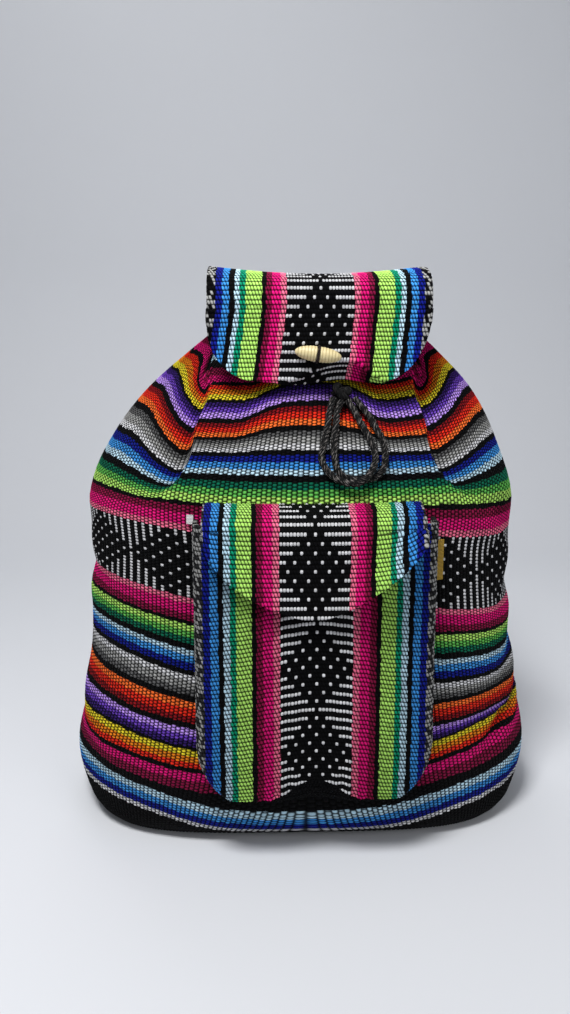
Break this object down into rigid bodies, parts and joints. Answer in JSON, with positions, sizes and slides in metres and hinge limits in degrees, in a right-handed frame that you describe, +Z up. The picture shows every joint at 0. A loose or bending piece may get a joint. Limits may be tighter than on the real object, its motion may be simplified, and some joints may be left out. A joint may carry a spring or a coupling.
{
  "type": "woven drawstring backpack",
  "caption": "Striped woven cotton backpack: gathered drawstring neck, lid flap closed by a turning toggle, boxed front pocket with a rounded flap, two shoulder straps.",
  "frame": {"origin": "on the floor under the middle of the bag's base panel", "axes": "+Z up along the height, front with the pocket at -Y, straps at +Y"},
  "size_m": [0.3442, 0.2256, 0.3955],
  "materials": {
    "woven_cloth": "coarse striped cotton weave, matte",
    "black_cloth": "matte black canvas",
    "black_cord": "twisted black and grey cotton",
    "toggle_wood": "pale turned wood, satin",
    "mustard_tag": "woven tape, bare",
    "white_tag": "woven tape, bare"
  },
  "bodies": {
    "bag": {"body": "woven_cloth", "base_panel": "black_cloth", "flap": "woven_cloth", "pocket": "woven_cloth", "pocket_flap": "woven_cloth", "neck_cord": "black_cord", "bow_knot": "black_cord", "bow_loop_front": "black_cord", "bow_loop_back": "black_cord", "strap_left": "woven_cloth", "strap_right": "woven_cloth", "hang_loop": "black_cord", "side_tag": "mustard_tag", "white_tag": "white_tag"},
    "toggle": {"toggle": "toggle_wood", "toggle_loop": "black_cord"}
  },
  "joints": [
    {"name": "toggle_turn", "type": "hinge", "parent": "bag", "child": "toggle", "pos_m": [0.0075, -0.0716, 0.33692], "axis": [0, 1, 0], "range_deg": [-90, 90]}
  ]
}
